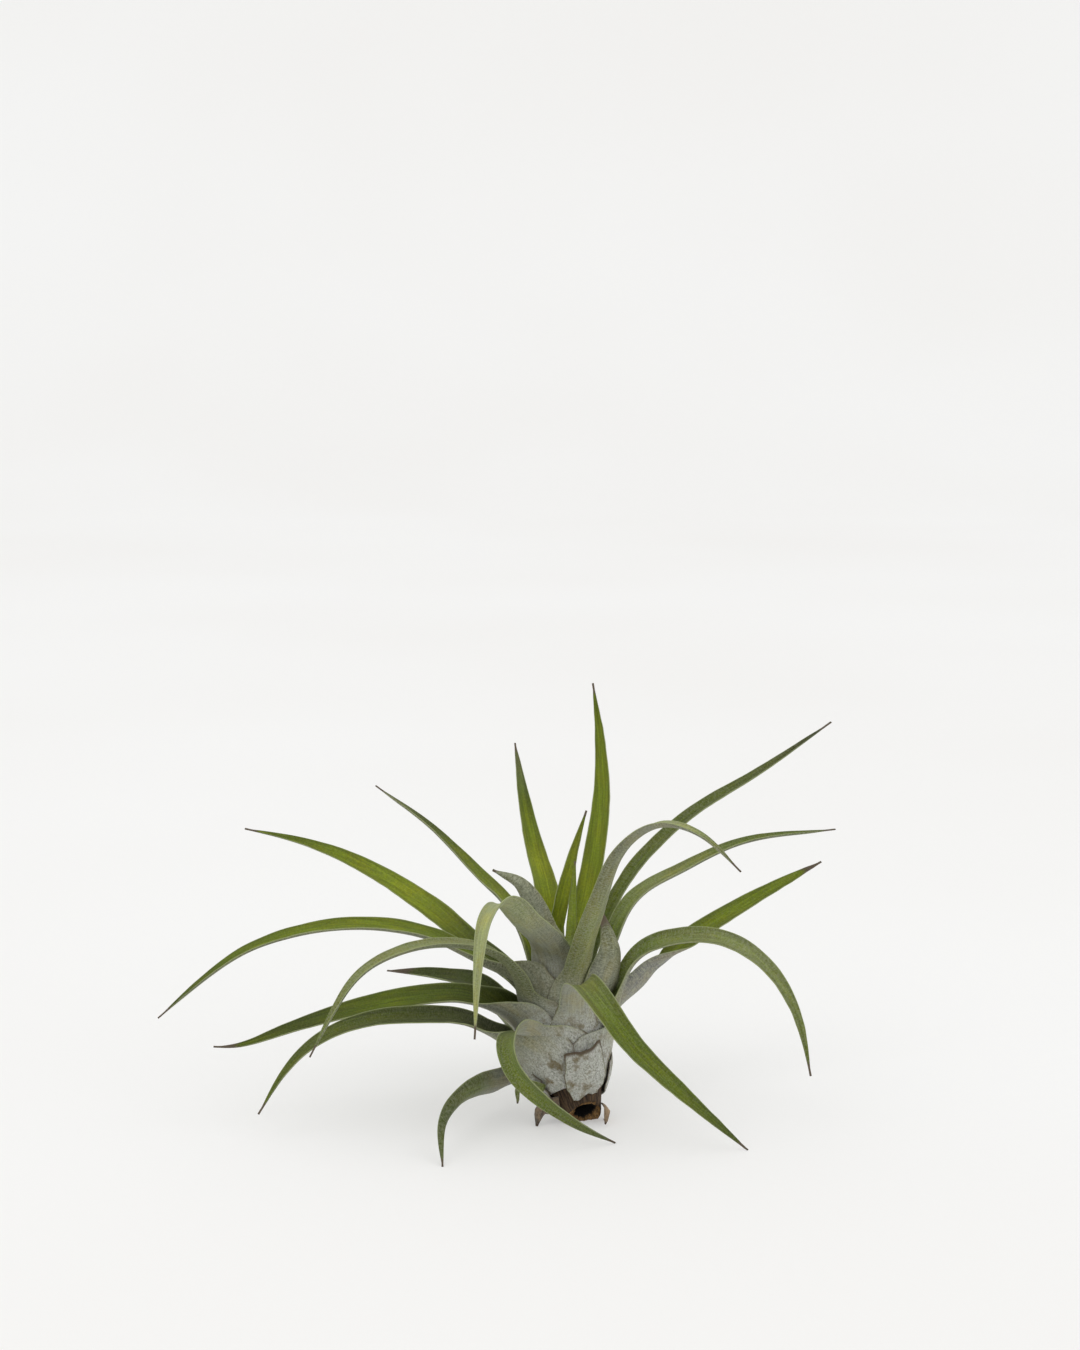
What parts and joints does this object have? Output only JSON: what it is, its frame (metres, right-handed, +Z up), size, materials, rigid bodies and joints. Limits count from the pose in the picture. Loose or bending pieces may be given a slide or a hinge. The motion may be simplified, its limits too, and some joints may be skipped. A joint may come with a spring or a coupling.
{
  "type": "air plant",
  "caption": "Bare-rooted air plant: a rosette of slender channelled leaves arching out from a short leaning stem, resting on its stem end and lowest leaf tips.",
  "frame": {"origin": "on the flat spot under the stem's broken end, where the plant rests on a surface", "axes": "+Z up, +X to the right along the widest spread of the leaves, +Y to the back, the way the stem leans"},
  "size_m": [0.1644, 0.1276, 0.0957],
  "materials": {
    "leaf": "green leaf with fine grey scales, matt on its back and softly glossy on its face",
    "sheath": "dry leaf base with grey felt and a torn brown edge",
    "stem": "dry brown fibrous stem"
  },
  "bodies": {
    "root": {"stem": "stem", "sheath_old_right": "sheath", "leaf_low_left": "leaf", "leaf_rear_left": "leaf", "leaf_left_hanging": "leaf", "leaf_right_hanging": "leaf", "leaf_left_dark": "leaf", "leaf_front_folded": "leaf", "leaf_right_low": "leaf", "leaf_right_folded": "leaf", "leaf_left_broad": "leaf", "leaf_rear_straight": "leaf", "leaf_right_short": "leaf", "leaf_left_bowed": "leaf", "leaf_right_bowed": "leaf", "leaf_left_high": "leaf", "leaf_right_arched": "leaf", "leaf_left_arched": "leaf", "leaf_right_high": "leaf", "leaf_back_left": "leaf", "leaf_front_arched": "leaf", "leaf_back_upright": "leaf", "leaf_heart_small": "leaf", "leaf_back_tall": "leaf", "leaf_front_short": "leaf", "leaf_heart": "leaf", "leaf_low_stub": "leaf", "dry_flap": "sheath", "dry_spike": "sheath"}
  },
  "joints": []
}
